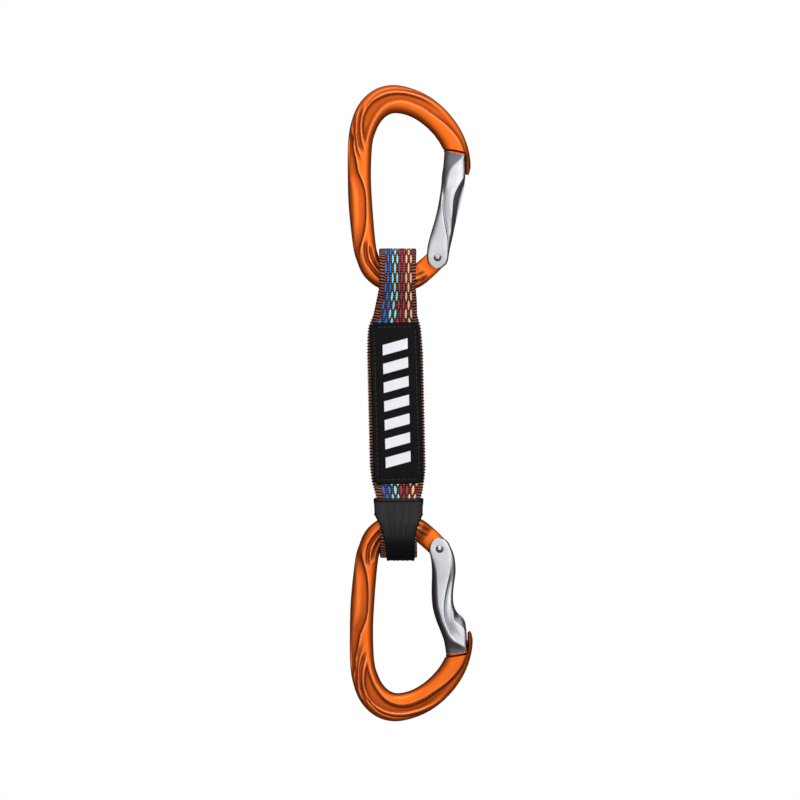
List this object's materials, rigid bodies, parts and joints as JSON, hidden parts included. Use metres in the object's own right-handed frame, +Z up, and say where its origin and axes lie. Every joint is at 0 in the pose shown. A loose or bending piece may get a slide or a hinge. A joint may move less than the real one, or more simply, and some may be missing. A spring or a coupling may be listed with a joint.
{
  "type": "climbing quickdraw",
  "caption": "Climbing quickdraw: a straight gate and a bent gate carabiner joined by a sewn webbing sling with a label patch and a rubber keeper.",
  "frame": {"origin": "inside of the top carabiner's crown, where the bolt hanger bears, mid depth", "axes": "+Z up along the hanging quickdraw, +X towards the gates, -Y towards the viewer of the picture"},
  "size_m": [0.06, 0.026, 0.3054],
  "materials": {
    "orange_anodised": "orange anodised forged aluminium",
    "gate_polished": "clear anodised aluminium",
    "steel": "bright stainless steel",
    "webbing": "woven polyamide, brown with blue, turquoise, red and salmon columns",
    "thread": "sewing thread",
    "label_black": "matt black coated patch",
    "label_white": "white transfer print",
    "keeper_rubber": "black moulded rubber"
  },
  "bodies": {
    "top_carabiner": {"top_body": "orange_anodised", "top_gate_rivet": "steel"},
    "top_gate": {"top_gate": "gate_polished", "top_gate_spring": "steel"},
    "top_plunger": {"top_gate_plunger": "steel"},
    "sling": {"webbing": "webbing", "bar_tack_upper": "thread", "bar_tack_middle": "thread", "bar_tack_lower": "thread", "label": "label_black", "label_stitches": "thread", "label_print": "label_white", "rubber_keeper": "keeper_rubber"},
    "bottom_carabiner": {"bottom_body": "orange_anodised", "bottom_gate_rivet": "steel"},
    "bottom_gate": {"bottom_gate": "gate_polished", "bottom_gate_spring": "steel"},
    "bottom_plunger": {"bottom_gate_plunger": "steel"}
  },
  "joints": [
    {"name": "top_gate_hinge", "type": "hinge", "parent": "top_carabiner", "child": "top_gate", "pos_m": [0.0204, 0, -0.0693], "axis": [0, -1, 0], "range_deg": [0, 34], "stiffness_Nm_per_rad": 0.25, "springref_deg": -11.46},
    {"name": "top_plunger_slide", "type": "slide", "parent": "top_gate", "child": "top_plunger", "axis": [0.1564, 0, 0.9877], "range_m": [0, 0.00125], "deforming": ["top_gate_spring"]},
    {"name": "sling_swing", "type": "hinge", "parent": "top_carabiner", "child": "sling", "pos_m": [0.0013, 0, -0.07642], "axis": [1, 0, 0], "range_deg": [-110, 110]},
    {"name": "bottom_carabiner_swing", "type": "hinge", "parent": "sling", "child": "bottom_carabiner", "pos_m": [0.0023, 0, -0.20182], "axis": [1, 0, 0], "range_deg": [-90, 90]},
    {"name": "bottom_gate_hinge", "type": "hinge", "parent": "bottom_carabiner", "child": "bottom_gate", "pos_m": [0.0214, 0, -0.20893], "axis": [0, 1, 0], "range_deg": [0, 34], "stiffness_Nm_per_rad": 0.25, "springref_deg": -11.46},
    {"name": "bottom_plunger_slide", "type": "slide", "parent": "bottom_gate", "child": "bottom_plunger", "axis": [0.1564, 0, -0.9877], "range_m": [0, 0.00125], "deforming": ["bottom_gate_spring"]}
  ],
  "couplings": [
    {"joint": "top_plunger_slide", "follows": "top_gate_hinge", "m_per_rad": 0.00202},
    {"joint": "bottom_plunger_slide", "follows": "bottom_gate_hinge", "m_per_rad": 0.00202}
  ]
}
